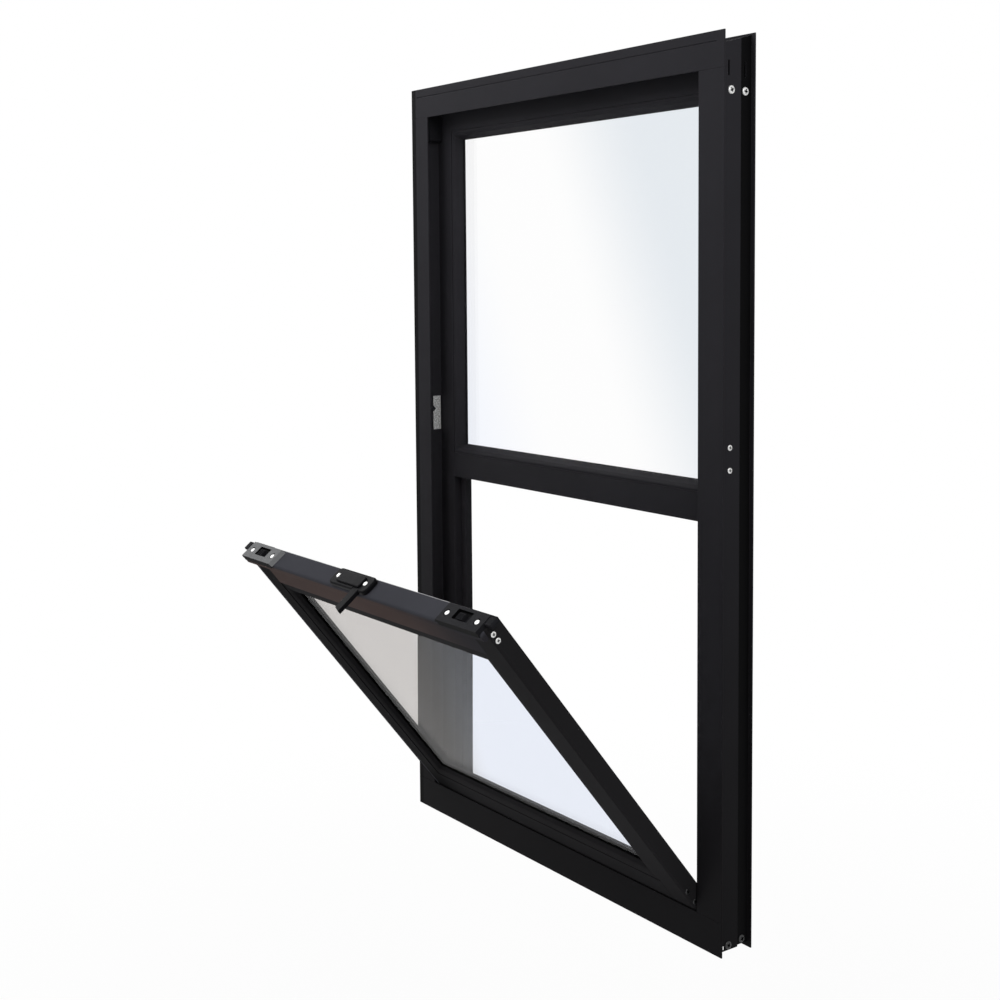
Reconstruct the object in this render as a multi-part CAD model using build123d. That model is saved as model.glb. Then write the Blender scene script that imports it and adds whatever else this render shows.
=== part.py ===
from build123d import *
import os

# A single-hung window with a tilt-in lower sash, standing in its own frame, sizes in millimetres.
# X runs across the window, Y out through the wall and Z up.
# The origin is in the middle of the sill's outdoor face, the flat that bears on the wall's stop.
# Inside this file depth is counted from the room face and height from the frame's lowest edge,
# and each piece is moved to the origin as it is written.

# Frame, overall
frame_width = 670.0
frame_height = 1100.0
frame_depth = 51.0

# Frame profile: widths run inwards from the outer edge, depths back from the room face
wall = 2.0
face_width = 43.0
face_thickness = 2.0
track_floor = 30.0
track_back = 28.0
member_width = 64.0
glass_pocket = 56.0
outdoor_leg = 72.0
sight_line = 76.5
jamb_front_lip = 2.0
jamb_rear_lip = 5.5
head_fin = 15.0
sill_fin = 6.5
groove_below_top = 11.5
groove_width = 1.4
groove_depth = 0.8
groove_end_gap = 13.0

# Upper glass, the outdoor leg behind it and its snap-in beads
leg_thickness = 3.7
upper_glass_thickness = 5.0
glass_edge_gap = 2.0
seal_gap = 0.3
bead_setback = 1.0
bead_nose = 3.5
bead_shoulder = 7.0
bead_toe = 1.0

# Meeting rail
rail_bottom = 518.0
rail_height = 36.5
rail_pocket_drop = 8.0

# Sill behind the room face
sill_rear_height = 42.0
sill_rear_fall = 5.0

# Fixed stops beside the lower opening, measured in from the outdoor face
lower_stop_thickness = 11.0

# Sash, in its own upright position: widths from its outer edge, depths from its room face
sash_side_gap = 2.0
sash_rail_overlap = 27.0
sash_thickness = 22.0
stile_flat = 40.0
rail_flat = 50.0
sash_glass_front = 7.0
sash_glass_thickness = 10.0
sash_leg = 13.0
sash_chamfer = 2.5
heel_chamfer = 2.5

# Pull ledge along the room side of the sash top
pull_reach = 7.0
pull_height = 12.0
pull_top_radius = 4.0
pull_under_radius = 2.5

# Sash bead: its flat top, the roll down and the toe on the glass
sash_bead_width = 20.0
sash_bead_crown = 10.0
sash_bead_roll = 15.0
sash_bead_step = 0.8
sash_bead_crown_depth = 1.2
sash_bead_roll_depth = 2.4
sash_bead_toe = 1.0

# Where the tilted sash turns in the tracks
sash_tilt = 38.5
pivot_depth = 15.0
pivot_height = 45.0
pivot_in_sash_depth = 11.0
pivot_in_sash_height = 6.0

# Pivot bars and balance shoes
pivot_bar_width = 10.0
pivot_bar_thickness = 4.0
pivot_bar_inside = 7.0
pivot_slot_gap = 0.2
shoe_clearance = 0.6
shoe_thickness = 11.0
shoe_below = 12.0
shoe_above = 46.0
shoe_chamfer = 2.0

# Sash stops and balance clips in the tracks
stop_length = 48.0
stop_thickness = 11.0
stop_depth = 5.0
stop_chamfer = 2.0
clip_above_rail = 33.5
clip_length = 51.0
clip_width = 13.0
clip_thickness = 1.6
clip_notch = 5.0
clip_notch_height = 31.5

# Tilt latches on the sash top
latch_screw_pitch = 59.0
latch_screw_margin = 14.0
latch_height = 5.0
latch_end_gap = 3.0
latch_end_slope = 2.0
latch_lip = 1.0
latch_lip_drop = 4.0
latch_rear_gap = 3.5
slider_length = 24.0
slider_width = 9.0
slider_height = 2.0
slider_chamfer = 0.8
bolt_reach = 10.0
bolt_width = 12.0
bolt_height = 5.0
bolt_nose_length = 3.0
bolt_nose_drop = 2.0

# Sash lock in the middle of the top rail
lock_screw_pitch = 66.0
lock_screw_margin = 12.0
lock_width = 26.0
lock_height = 6.0
lock_corner = 8.0
lock_chamfer = 1.5
lock_cover_length = 56.0
lock_cover_inset = 4.5
lock_cover_height = 2.5
lock_cover_corner = 3.0
lock_cover_chamfer = 0.8
lever_offset = 22.0
lever_width = 13.0
lever_thickness = 5.5
lever_reach = 32.0
lever_end_slant = 4.5
lever_socket = 12.0
lever_gap = 0.3

# Screws
screw_head_radius = 4.0
screw_head_height = 1.6
small_screw_radius = 2.8
small_screw_height = 0.9
front_screw_depth = 13.0
rear_screw_inset = 12.0
head_screw_drop = 68.0
sill_screw_height = 13.0
clip_screw_rises = (1.0, 28.0)
corner_screw_depth = 5.5
corner_screw_drops = (11.0, 21.0)
corner_screw_rises = (24.0, 44.0)

# Slots in the outer wall of each jamb, beside the head's and the sill's screw ports
slot_width = 2.6
head_slot_length = 18.0
head_slot_drop = 43.0
front_slot_depth = 9.5
sill_slot_length = 5.0
sill_slot_height = 10.5
sill_slot_depth = 6.0

# How far a cut runs past the face that it opens
cut_past = 2.0

half_width = frame_width / 2
track_wall = half_width - track_floor
step_depth = track_back + wall / 2
glass_back = frame_depth - leg_thickness - seal_gap
upper_glass_front = glass_back - upper_glass_thickness
lower_stop_depth = frame_depth - lower_stop_thickness
rear_screw_depth = frame_depth - rear_screw_inset
rail_top = rail_bottom + rail_height
sash_half = half_width - face_width - sash_side_gap
sash_height = rail_bottom + sash_rail_overlap - track_floor
sash_middle = sash_thickness / 2
sash_glass_back = sash_glass_front + sash_glass_thickness
clip_bottom = rail_top + clip_above_rail
latch_length = latch_screw_pitch + 2 * latch_screw_margin
latch_outer = sash_half - latch_end_gap
latch_centre = latch_outer - latch_length / 2
latch_front = -pull_reach - latch_lip
latch_rear = sash_thickness - latch_rear_gap
latch_middle = (latch_front + latch_rear) / 2
lock_length = lock_screw_pitch + 2 * lock_screw_margin
lock_middle = (sash_thickness - pull_reach) / 2
lock_front = lock_middle - lock_width / 2
lock_top = sash_height + lock_height
origin_height = (sill_rear_height - sill_rear_fall) / 2


def plate(points):
    """A flat face with straight sides through the given corners, where two alike count as one."""
    corners = [point for at, point in enumerate(points) if point != points[at - 1]]
    return make_face(Polyline(*corners, close=True))


def block(x0, x1, y0, y1, z0, z1):
    """A box between two corners."""
    centre = ((x0 + x1) / 2, (y0 + y1) / 2, (z0 + z1) / 2)
    return Pos(*centre) * Box(abs(x1 - x0), abs(y1 - y0), abs(z1 - z0))


def mirrored(shape):
    """The same piece on the other side of the window."""
    return mirror(shape, about=Plane.YZ)


def both_sides(shapes):
    """Like small solids on both sides of the window, as one piece."""
    return Compound(shapes + [mirrored(shape) for shape in shapes])


def upright(face_points, z0, z1, edge):
    """A profile of (width, depth) points on the right side, run from z0 up to z1."""
    section = plate([(edge - u, d) for u, d in face_points])
    return Pos(0, 0, z0) * extrude(section, z1 - z0, dir=(0, 0, 1))


def level(face_points, half_length, edge, downwards=True):
    """A profile of (width, depth) points run across the window, below or above an edge height."""
    sign = -1 if downwards else 1
    section = Plane.YZ * plate([(d, edge + sign * u) for u, d in face_points])
    return Pos(-half_length, 0, 0) * extrude(section, 2 * half_length, dir=(1, 0, 0))


def box_points(u0, u1, d0, d1):
    """The four corners of a rectangle in a profile."""
    return [(u0, d0), (u1, d0), (u1, d1), (u0, d1)]


def member_outline(front_lip, rear_lip):
    """The frame profile behind its room face, with the pocket that takes the glass."""
    return [(front_lip, face_thickness), (track_floor, face_thickness), (track_floor, track_back),
            (member_width, track_back), (member_width, upper_glass_front),
            (glass_pocket, upper_glass_front), (glass_pocket, glass_back + seal_gap),
            (outdoor_leg, glass_back + seal_gap), (outdoor_leg, frame_depth), (0, frame_depth),
            (0, frame_depth - wall), (rear_lip, frame_depth - wall), (rear_lip, step_depth),
            (front_lip, step_depth)]


def front_chamber(front_lip):
    """The hollow behind the room face, beside the track."""
    return box_points(front_lip + wall, track_floor - wall, face_thickness, track_back)


def rear_chamber(rear_lip):
    """The hollow behind the track."""
    return box_points(rear_lip + wall, glass_pocket - wall, track_back + wall, frame_depth - wall)


def jamb_slots():
    """Cutters for the upright slots through the outer wall of the right jamb."""
    high = frame_height - head_slot_drop
    slots = [(front_slot_depth, high, head_slot_length), (rear_screw_depth, high, head_slot_length),
             (sill_slot_depth, sill_slot_height, sill_slot_length)]
    inner = half_width - jamb_rear_lip - wall - cut_past / 2
    cutters = []
    for depth, middle, length in slots:
        cutters.append(block(inner, half_width + cut_past, depth - slot_width / 2,
                             depth + slot_width / 2, middle - length / 2, middle + length / 2))
    return cutters


def make_jamb():
    """Right jamb: a full-height outdoor plate, and a hollow body cut short at both ends."""
    body = upright(member_outline(jamb_front_lip, jamb_rear_lip), 0, frame_height, half_width)
    body -= upright(front_chamber(jamb_front_lip), 0, frame_height, half_width)
    body -= upright(rear_chamber(jamb_rear_lip), 0, frame_height, half_width)
    plate_front = frame_depth - wall
    low_cut = block(0, half_width + cut_past, 0, plate_front, -cut_past, sill_fin)
    slope = plate([(0, frame_height - head_fin), (face_thickness, frame_height - head_fin),
                   (plate_front, frame_height - wall), (plate_front, frame_height + cut_past),
                   (0, frame_height + cut_past)])
    high_cut = extrude(Plane.YZ * slope, half_width + cut_past, dir=(1, 0, 0))
    body = body - low_cut - high_cut
    face = box_points(0, face_width, 0, face_thickness)
    body += upright(face, face_width, frame_height - face_width, half_width)
    return body - jamb_slots()


def make_head(jamb_solid):
    """Head: the same profile run across, coped to the jambs, with a tall fin at its top."""
    body = level(member_outline(head_fin, head_fin), track_wall, frame_height)
    body -= level(front_chamber(head_fin), half_width, frame_height)
    body -= level(rear_chamber(head_fin), half_width, frame_height)
    body = body - jamb_solid - mirrored(jamb_solid)
    body += level(box_points(0, face_width, 0, face_thickness), half_width, frame_height)
    groove = box_points(groove_below_top, groove_below_top + groove_width, -cut_past, groove_depth)
    return body - level(groove, half_width - groove_end_gap, frame_height)


def sill_top(depth):
    """Height of the sill's sloped rear step at a depth."""
    return sill_rear_height - sill_rear_fall * (depth - track_back) / (frame_depth - track_back)


def make_sill(jamb_solid):
    """Sill: the track floor at the front and a low sloped step at the back."""
    outline = [(sill_fin, face_thickness), (track_floor, face_thickness), (track_floor, track_back),
               (sill_top(track_back), track_back), (sill_top(frame_depth), frame_depth),
               (0, frame_depth), (0, frame_depth - wall), (sill_fin, frame_depth - wall)]
    body = level(outline, track_wall, 0, downwards=False)
    body -= level(front_chamber(sill_fin), half_width, 0, downwards=False)
    near = track_back + wall
    far = frame_depth - wall
    rear = [(sill_fin + wall, near), (sill_top(near) - wall, near), (sill_top(far) - wall, far),
            (sill_fin + wall, far)]
    body -= level(rear, half_width, 0, downwards=False)
    body = body - jamb_solid - mirrored(jamb_solid)
    face = box_points(0, face_width, 0, face_thickness)
    return body + level(face, half_width, 0, downwards=False)


def make_meeting_rail(jamb_solid):
    """Fixed rail under the upper glass, coped to the jambs."""
    pocket = rail_height - rail_pocket_drop
    leg = rail_height + outdoor_leg - member_width
    outline = [(0, track_back), (rail_height, track_back), (rail_height, upper_glass_front),
               (pocket, upper_glass_front), (pocket, glass_back + seal_gap),
               (leg, glass_back + seal_gap), (leg, frame_depth), (0, frame_depth)]
    chamber = box_points(wall, pocket - wall, track_back + wall, frame_depth - wall)
    body = level(outline, half_width - member_width, rail_bottom, downwards=False)
    body -= level(chamber, half_width, rail_bottom, downwards=False)
    return body - jamb_solid - mirrored(jamb_solid)


def upper_bead_points(edge):
    """Snap-in bead: a short nose, then a slope down to the glass."""
    reach = sight_line - member_width
    return [(edge, track_back + bead_setback), (edge + bead_nose, track_back + bead_setback),
            (edge + bead_shoulder, track_back + bead_nose),
            (edge + reach, upper_glass_front - bead_toe), (edge + reach, upper_glass_front),
            (edge, upper_glass_front)]


def make_upper_beads():
    """Four beads round the upper glass, the level ones cut to fit between the upright ones."""
    right = upright(upper_bead_points(member_width), rail_top, frame_height - member_width, half_width)
    left = mirrored(right)
    half_length = half_width - member_width
    top = level(upper_bead_points(member_width), half_length, frame_height)
    bottom = level(upper_bead_points(0), half_length, rail_top, downwards=False)
    return {"upper_bead_right": right, "upper_bead_left": left,
            "upper_bead_top": top - right - left, "upper_bead_bottom": bottom - right - left}


def make_upper_glass():
    low = rail_top - rail_pocket_drop + glass_edge_gap
    high = frame_height - glass_pocket - glass_edge_gap
    side = half_width - glass_pocket - glass_edge_gap
    return block(-side, side, upper_glass_front, glass_back, low, high)


def make_lower_stop():
    """Fixed stop beside the lower opening, wrapped round the jamb's outdoor leg."""
    outline = [(member_width, lower_stop_depth), (sight_line, lower_stop_depth),
               (sight_line, frame_depth), (outdoor_leg, frame_depth),
               (outdoor_leg, glass_back + seal_gap), (member_width, glass_back + seal_gap)]
    return upright(outline, sill_rear_height, rail_bottom, half_width)


def sash_outline(flat):
    """Sash member: a flat room face with an eased outer edge, and an outdoor leg behind the glass."""
    return [(0, sash_chamfer), (sash_chamfer, 0), (flat, 0), (flat, sash_glass_back + seal_gap),
            (flat + sash_leg, sash_glass_back + seal_gap), (flat + sash_leg, sash_thickness),
            (0, sash_thickness)]


def sash_chamber(flat):
    """The hollow in a sash member."""
    return box_points(wall, flat - wall, wall, sash_thickness - wall)


def heel_cutter():
    """Cutter for the eased outdoor edge along the sash's foot."""
    corner = plate([(sash_thickness - heel_chamfer, 0), (sash_thickness, heel_chamfer),
                    (sash_thickness, 0)])
    return extrude(Plane.YZ * corner, half_width, both=True)


def make_stile():
    body = upright(sash_outline(stile_flat), 0, sash_height, sash_half)
    body -= upright(sash_chamber(stile_flat), wall, sash_height - wall, sash_half)
    return body - heel_cutter()


def make_bottom_rail(stile):
    """Bottom rail of the sash, cut to fit between the stiles."""
    body = level(sash_outline(rail_flat), sash_half - stile_flat, 0, downwards=False)
    body -= level(sash_chamber(rail_flat), sash_half, 0, downwards=False)
    return body - heel_cutter() - stile - mirrored(stile)


def make_pull_ledge():
    """Rounded ledge that stands into the room along the sash top, over the stiles as well."""
    side = sash_half - sash_chamfer
    ledge = block(-side, side, -pull_reach, 0, sash_height - pull_height, sash_height)
    front = ledge.edges().filter_by(Axis.X).group_by(Axis.Y)[0].sort_by(Axis.Z)
    ledge = fillet(front[-1], pull_top_radius)
    under = ledge.edges().filter_by(Axis.X).group_by(Axis.Z)[0].sort_by(Axis.Y)[0]
    return fillet(under, pull_under_radius)


def make_top_rail(stile):
    """Top rail of the sash, cut to fit between the stiles, with the pull ledge along it."""
    outline = [(0, 0)] + sash_outline(rail_flat)[2:]
    body = level(outline, sash_half - stile_flat, sash_height)
    body -= level(sash_chamber(rail_flat), sash_half, sash_height)
    return body - stile - mirrored(stile) + make_pull_ledge()


def sash_bead_points(flat):
    """Bead: nearly flush with the member, then rolled down to the glass."""
    reach = flat + sash_bead_width
    return [(flat, sash_bead_step), (flat + sash_bead_crown, sash_bead_crown_depth),
            (flat + sash_bead_roll, sash_bead_roll_depth), (reach, sash_glass_front - sash_bead_toe),
            (reach, sash_glass_front), (flat, sash_glass_front)]


def make_sash_beads():
    """Four beads round the sash glass, the level ones cut to fit between the upright ones."""
    right = upright(sash_bead_points(stile_flat), rail_flat, sash_height - rail_flat, sash_half)
    left = mirrored(right)
    beads = {"sash_bead_right": right, "sash_bead_left": left}
    for name, edge, down in (("sash_bead_top", sash_height, True), ("sash_bead_bottom", 0, False)):
        bead = level(sash_bead_points(rail_flat), sash_half - stile_flat, edge, downwards=down)
        beads[name] = bead - right - left
    return beads


def make_sash_glass():
    side = sash_half - stile_flat - glass_edge_gap
    low = rail_flat + glass_edge_gap
    return block(-side, side, sash_glass_front, sash_glass_back, low, sash_height - low)


def make_shoe():
    """Balance shoe in the right track, with the slot that holds the pivot bar."""
    back = track_wall - shoe_clearance / 2
    front = back - shoe_thickness
    body = block(front, back, face_thickness + shoe_clearance, track_back - shoe_clearance,
                 pivot_height - shoe_below, pivot_height + shoe_above)
    body = chamfer(body.edges().filter_by(Axis.X), shoe_chamfer)
    gap = 2 * pivot_slot_gap
    slot = Box(2 * shoe_thickness, pivot_bar_width + gap, pivot_bar_thickness + gap)
    return body - Pos(front, pivot_depth, pivot_height) * Rot(sash_tilt, 0, 0) * slot


def make_pivot_bar():
    """Flat bar from inside the stile's heel out into the shoe, in the sash's own position."""
    half_w = pivot_bar_width / 2
    half_t = pivot_bar_thickness / 2
    return block(sash_half - pivot_bar_inside, track_wall - shoe_clearance,
                 pivot_in_sash_depth - half_w, pivot_in_sash_depth + half_w,
                 pivot_in_sash_height - half_t, pivot_in_sash_height + half_t)


def make_latch_housing():
    """Right latch housing on the sash top, with sloped ends and a lip wrapped round the pull ledge."""
    inner = latch_outer - latch_length
    profile = plate([(inner, 0), (inner + latch_height, latch_height),
                     (latch_outer - latch_end_slope, latch_height), (latch_outer, 0)])
    body = extrude(Plane.XZ * profile, latch_rear - latch_front, dir=(0, 1, 0))
    lip = block(inner + latch_height, latch_outer - latch_end_slope, latch_front, 0,
                sash_height - latch_lip_drop, sash_height)
    return Pos(0, latch_front, sash_height) * body + lip - make_pull_ledge()


def make_latch_slider():
    """Thumb piece on the latch housing."""
    base = sash_height + latch_height
    body = block(latch_centre - slider_length / 2, latch_centre + slider_length / 2,
                 latch_middle - slider_width / 2, latch_middle + slider_width / 2,
                 base, base + slider_height)
    return chamfer(body.edges().group_by(Axis.Z)[-1], slider_chamfer)


def make_latch_bolt():
    """Bolt that sticks out past the stile, with a sloped nose."""
    tip = sash_half + bolt_reach
    top = sash_height + bolt_height
    nose = plate([(latch_outer, sash_height), (latch_outer, top), (tip - bolt_nose_length, top),
                  (tip, top - bolt_nose_drop), (tip, sash_height)])
    return Pos(0, sash_middle - bolt_width / 2, 0) * extrude(Plane.XZ * nose, bolt_width, dir=(0, 1, 0))


def rounded_bar(length, width, z0, height, corner, edge):
    """A bar centred on the sash top, with round corners and an eased top edge."""
    body = block(-length / 2, length / 2, lock_middle - width / 2, lock_middle + width / 2,
                 z0, z0 + height)
    body = fillet(body.edges().filter_by(Axis.Z), corner)
    return chamfer(body.edges().group_by(Axis.Z)[-1], edge)


def make_lock_base():
    """Lock base with a socket in its room side that the lever turns in."""
    body = rounded_bar(lock_length, lock_width, sash_height, lock_height, lock_corner, lock_chamfer)
    half = lever_width / 2 + lever_gap
    socket = block(lever_offset - half, lever_offset + half, lock_front - cut_past,
                   lock_front + lever_socket, sash_height - cut_past, lock_top + cut_past)
    return body - socket


def make_lock_lever():
    """Lever that stands out into the room from the base's socket, under the cover."""
    left = lever_offset - lever_width / 2
    right = lever_offset + lever_width / 2
    root = lock_front + lever_socket - lever_gap
    end = lock_front - lever_reach
    arm = plate([(left, root), (right, root), (right, end - lever_end_slant / 2),
                 (left, end + lever_end_slant / 2)])
    return Pos(0, 0, sash_height) * extrude(arm, lever_thickness, dir=(0, 0, 1))


def side_head(x, y, z, radius, height):
    """Screw head seated at x on a face that looks outwards."""
    return Pos(x + height / 2, y, z) * Rot(0, 90, 0) * Cylinder(radius, height)


def top_head(x, y, z, radius, height):
    """Screw head seated at z on a face that looks up."""
    return Pos(x, y, z + height / 2) * Cylinder(radius, height)


def frame_heads():
    """Heads on the outer side of the right jamb."""
    front = half_width - jamb_front_lip
    rear = half_width - jamb_rear_lip
    heads = []
    for z in (frame_height - head_screw_drop, sill_screw_height):
        heads.append(side_head(front, front_screw_depth, z, screw_head_radius, screw_head_height))
        heads.append(side_head(rear, rear_screw_depth, z, screw_head_radius, screw_head_height))
    for rise in clip_screw_rises:
        heads.append(side_head(front, front_screw_depth, clip_bottom + rise,
                               small_screw_radius, small_screw_height))
    return heads


def corner_heads():
    """Heads in the right stile's edge, at the sash's corners."""
    heights = [sash_height - drop for drop in corner_screw_drops] + list(corner_screw_rises)
    return [side_head(sash_half, corner_screw_depth, z, small_screw_radius, small_screw_height)
            for z in heights]


def hardware_heads():
    """Heads on the right latch and the right end of the lock."""
    half_pitch = latch_screw_pitch / 2
    seats = [(latch_centre - half_pitch, latch_middle, sash_height + latch_height),
             (latch_centre + half_pitch, latch_middle, sash_height + latch_height),
             (lock_screw_pitch / 2, lock_middle, lock_top)]
    return [top_head(x, y, z, small_screw_radius, small_screw_height) for x, y, z in seats]


def make_sash_stop():
    """Block at the top of the right track."""
    top = frame_height - track_floor
    body = block(track_wall - stop_thickness, track_wall, stop_depth, track_back,
                 top - stop_length, top)
    return chamfer(body.edges().filter_by(Axis.Y).sort_by(Axis.Z)[0], stop_chamfer)


def make_balance_clip():
    """Thin plate on the track floor with a V notch in its free edge."""
    d1 = track_back - wall
    d0 = d1 - clip_width
    top = clip_bottom + clip_length
    notch = clip_bottom + clip_notch_height
    points = [(d0, clip_bottom), (d1, clip_bottom), (d1, top), (d0, top),
              (d0, notch + clip_notch), (d0 + clip_notch, notch), (d0, notch - clip_notch)]
    section = Plane.YZ * plate(points)
    return Pos(track_wall - clip_thickness, 0, 0) * extrude(section, clip_thickness, dir=(1, 0, 0))


def place_sash(shape):
    """Turn a piece of the upright sash into the tilted position on its pivots."""
    to_pivot = Pos(0, -pivot_in_sash_depth, -pivot_in_sash_height)
    return Pos(0, pivot_depth, pivot_height) * Rot(sash_tilt, 0, 0) * to_pivot * shape


def make_frame():
    """Every piece that stays in the wall."""
    coping = upright(member_outline(jamb_front_lip, jamb_rear_lip), 0, frame_height, half_width)
    frame = {"frame_head": make_head(coping), "frame_sill": make_sill(coping),
             "meeting_rail": make_meeting_rail(coping), "upper_glass": make_upper_glass()}
    frame.update(make_upper_beads())
    sided = {"jamb": make_jamb(), "lower_stop": make_lower_stop(), "sash_stop": make_sash_stop(),
             "balance_clip": make_balance_clip(), "balance_shoe": make_shoe()}
    for name, shape in sided.items():
        frame["right_" + name] = shape
        frame["left_" + name] = mirrored(shape)
    frame["frame_screws"] = both_sides(frame_heads())
    return frame


def make_sash():
    """Every piece that tilts with the sash, in the sash's own upright position."""
    stile = make_stile()
    sided = {"pivot_bar": make_pivot_bar(), "latch_housing": make_latch_housing(),
             "latch_slider": make_latch_slider(), "latch_bolt": make_latch_bolt()}
    right_stile = stile - sided["pivot_bar"]
    sash = {"sash_right_stile": right_stile, "sash_left_stile": mirrored(right_stile),
            "sash_top_rail": make_top_rail(stile), "sash_bottom_rail": make_bottom_rail(stile),
            "sash_glass": make_sash_glass()}
    sash.update(make_sash_beads())
    for name, shape in sided.items():
        sash["right_" + name] = shape
        sash["left_" + name] = mirrored(shape)
    sash["lock_base"] = make_lock_base()
    inset = 2 * lock_cover_inset
    sash["lock_cover"] = rounded_bar(lock_cover_length, lock_width - inset, lock_top,
                                     lock_cover_height, lock_cover_corner, lock_cover_chamfer)
    sash["lock_lever"] = make_lock_lever()
    sash["sash_corner_screws"] = both_sides(corner_heads())
    sash["hardware_screws"] = both_sides(hardware_heads())
    return sash


pieces = make_frame()
for name, shape in make_sash().items():
    pieces[name] = place_sash(shape)

to_origin = Pos(0, -frame_depth, -origin_height)
os.makedirs("parts", exist_ok=True)
for name, shape in pieces.items():
    export_step(to_origin * shape, f"parts/{name}.step")
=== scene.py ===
"""Finish a black single-hung window, its lower sash tilted into the room, around its fixed solids."""
import math

import bmesh
import bpy
from bpy.props import FloatProperty, FloatVectorProperty, IntProperty, PointerProperty
from mathutils import Matrix, Vector


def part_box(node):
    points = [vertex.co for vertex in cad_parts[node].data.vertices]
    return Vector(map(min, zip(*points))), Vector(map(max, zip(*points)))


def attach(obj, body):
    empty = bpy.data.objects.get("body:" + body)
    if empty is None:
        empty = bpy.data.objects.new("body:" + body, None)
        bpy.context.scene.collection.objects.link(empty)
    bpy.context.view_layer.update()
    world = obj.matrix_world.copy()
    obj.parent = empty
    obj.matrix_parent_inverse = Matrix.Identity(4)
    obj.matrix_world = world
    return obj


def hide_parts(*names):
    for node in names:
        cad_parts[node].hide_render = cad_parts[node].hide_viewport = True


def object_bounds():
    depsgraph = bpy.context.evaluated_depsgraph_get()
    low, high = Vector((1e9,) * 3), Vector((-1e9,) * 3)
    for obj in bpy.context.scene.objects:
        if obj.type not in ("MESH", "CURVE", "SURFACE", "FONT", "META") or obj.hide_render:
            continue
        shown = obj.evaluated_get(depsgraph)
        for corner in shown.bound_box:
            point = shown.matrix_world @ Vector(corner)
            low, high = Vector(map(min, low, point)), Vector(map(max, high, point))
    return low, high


bl_info = {
    "name": "Single-hung window",
    "version": (1, 0, 0),
    "blender": (4, 5, 0),
    "location": "View3D > Sidebar > Window",
    "description": "Finishes a single-hung window whose lower sash is tilted into the room",
    "category": "Object",
}

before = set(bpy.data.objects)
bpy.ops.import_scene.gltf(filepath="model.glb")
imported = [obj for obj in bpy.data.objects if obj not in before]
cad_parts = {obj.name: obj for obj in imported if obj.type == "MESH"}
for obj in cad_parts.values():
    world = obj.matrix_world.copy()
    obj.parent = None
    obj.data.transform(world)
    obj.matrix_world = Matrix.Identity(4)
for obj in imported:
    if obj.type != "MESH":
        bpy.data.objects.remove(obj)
cad_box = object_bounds()

# In metres: vertices this close are one, and a point this close to a face lies on it.
MERGE = 1e-6
NEAR = 1e-5
# Faces within FLAT of each other are one. Edges are rounded above SHARP, and shaded hard above CREASE.
FLAT = math.radians(0.5)
SHARP = math.radians(20)
CREASE = math.radians(50)
# How much of a normal lies along an axis when its face is square to it, faces it, or is a top face.
SQUARE = 0.9
FACING = 0.5
TOPSIDE = 0.4
# A screw head from its top down: half width and height of each ring, as shares of the whole.
HEAD_RINGS = ((0.7, 1.0), (0.9, 0.82), (1.0, 0.4), (1.0, 0.0))
HEAD_SIDES = 24
# The deepest recess in a screw head, as a share of its height, and the turn from one screw to the next.
DEEPEST = 0.7
SPIN = 1.1
WHITE = (1.0, 1.0, 1.0)
# Each lamp's name, place, width in metres and power in watts.
LAMPS = (("key_lamp", (-0.9, -1.9, 2.7), 2.0, 42),
         ("side_lamp", (2.8, -0.9, 2.3), 1.6, 36),
         ("outdoor_lamp", (-0.7, 2.7, 2.1), 2.0, 40),
         ("left_lamp", (-2.5, -0.6, 2.0), 1.2, 14))
MEMBERS = ("frame_head", "frame_sill", "left_jamb", "right_jamb", "meeting_rail",
           "left_lower_stop", "right_lower_stop")
SIDES = ("top", "bottom", "left", "right")
SASH_MEMBERS = ("sash_top_rail", "sash_bottom_rail", "sash_left_stile", "sash_right_stile")


def length(name, description, default, least=0.0):
    """A property for a size or a depth in metres."""
    return FloatProperty(name=name, description=description, default=default, min=least,
                         subtype="DISTANCE", unit="LENGTH", precision=5)


def place(name, description, default):
    """A property for a point in metres."""
    return FloatVectorProperty(name=name, description=description, default=default, subtype="XYZ",
                               unit="LENGTH", size=3)


def angle(name, description, degrees):
    """A property for an angle, its default given in degrees."""
    return FloatProperty(name=name, description=description, default=math.radians(degrees),
                         subtype="ANGLE", unit="ROTATION")


def colour(name, description, default):
    """A property for a colour in linear light."""
    return FloatVectorProperty(name=name, description=description, default=default, subtype="COLOR",
                               size=3, min=0.0, max=1.0)


def share(name, description, default):
    """A property for a plain number from 0 to 1."""
    return FloatProperty(name=name, description=description, default=default, min=0.0, max=1.0)


def count(name, description, default, least=1):
    """A property for a whole number."""
    return IntProperty(name=name, description=description, default=default, min=least, max=20)


def ends(name, description, *default):
    """A property for the two ends of a soft border, or of another range."""
    return FloatVectorProperty(name=name, description=description, default=default, size=2, precision=5)


class SashSettings(bpy.types.PropertyGroup):
    """How the sash stands on its pivots."""
    tilt: angle("Tilt", "How far the sash leans into the room", 38.5)
    pivot_y: length("Pivot depth", "Where the pivots lie through the wall", -0.036, least=-1.0)
    pivot_z: length("Pivot height", "Height of the pivots above the origin", 0.0265)
    heel_depth: length("Heel depth", "From the sash's room face back to its pivot", 0.011)
    heel_height: length("Heel height", "From the sash's foot up to its pivot", 0.006)


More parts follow.
